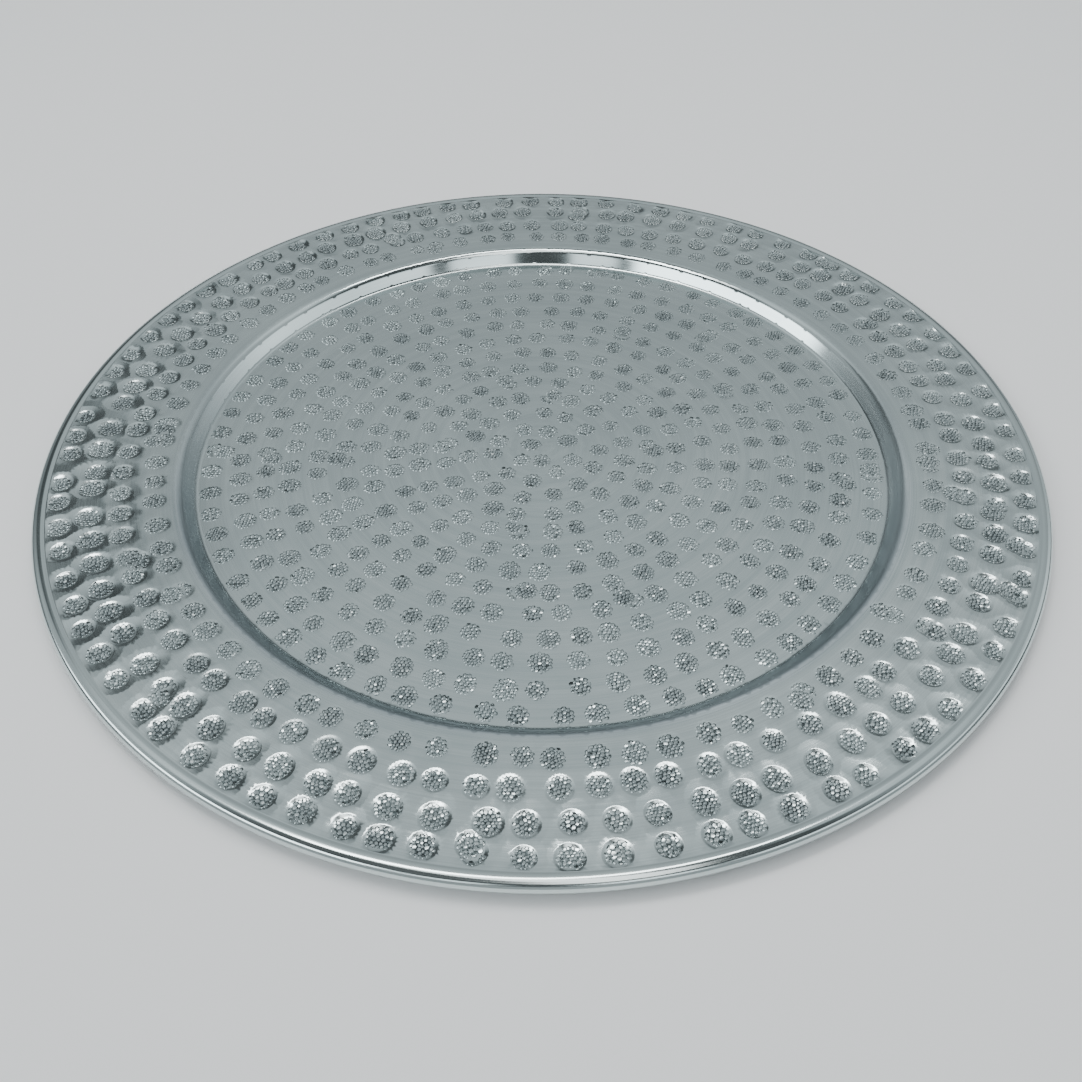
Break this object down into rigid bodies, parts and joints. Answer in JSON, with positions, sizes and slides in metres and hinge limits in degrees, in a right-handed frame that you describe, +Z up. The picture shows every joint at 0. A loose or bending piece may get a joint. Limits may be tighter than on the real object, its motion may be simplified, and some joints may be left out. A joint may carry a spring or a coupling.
{
  "type": "offering plate",
  "caption": "Round shallow metal plate with a hammered floor, a low sloping wall and a wide hammered rim whose edge is rolled over a wire, for taking up gifts of money.",
  "frame": {"origin": "centre of the flat base that the plate rests on, at its lowest point", "axes": "+Z up along the plate's axis; +X and +Y are any two square directions in the plane it rests on"},
  "size_m": [0.33, 0.33, 0.0075],
  "materials": {
    "sheet_metal": "hammered, brushed satin with a polished wall and edge",
    "wire": "bright drawn wire"
  },
  "bodies": {
    "root": {"plate_sheet": "sheet_metal", "edge_wire": "wire"}
  },
  "joints": []
}
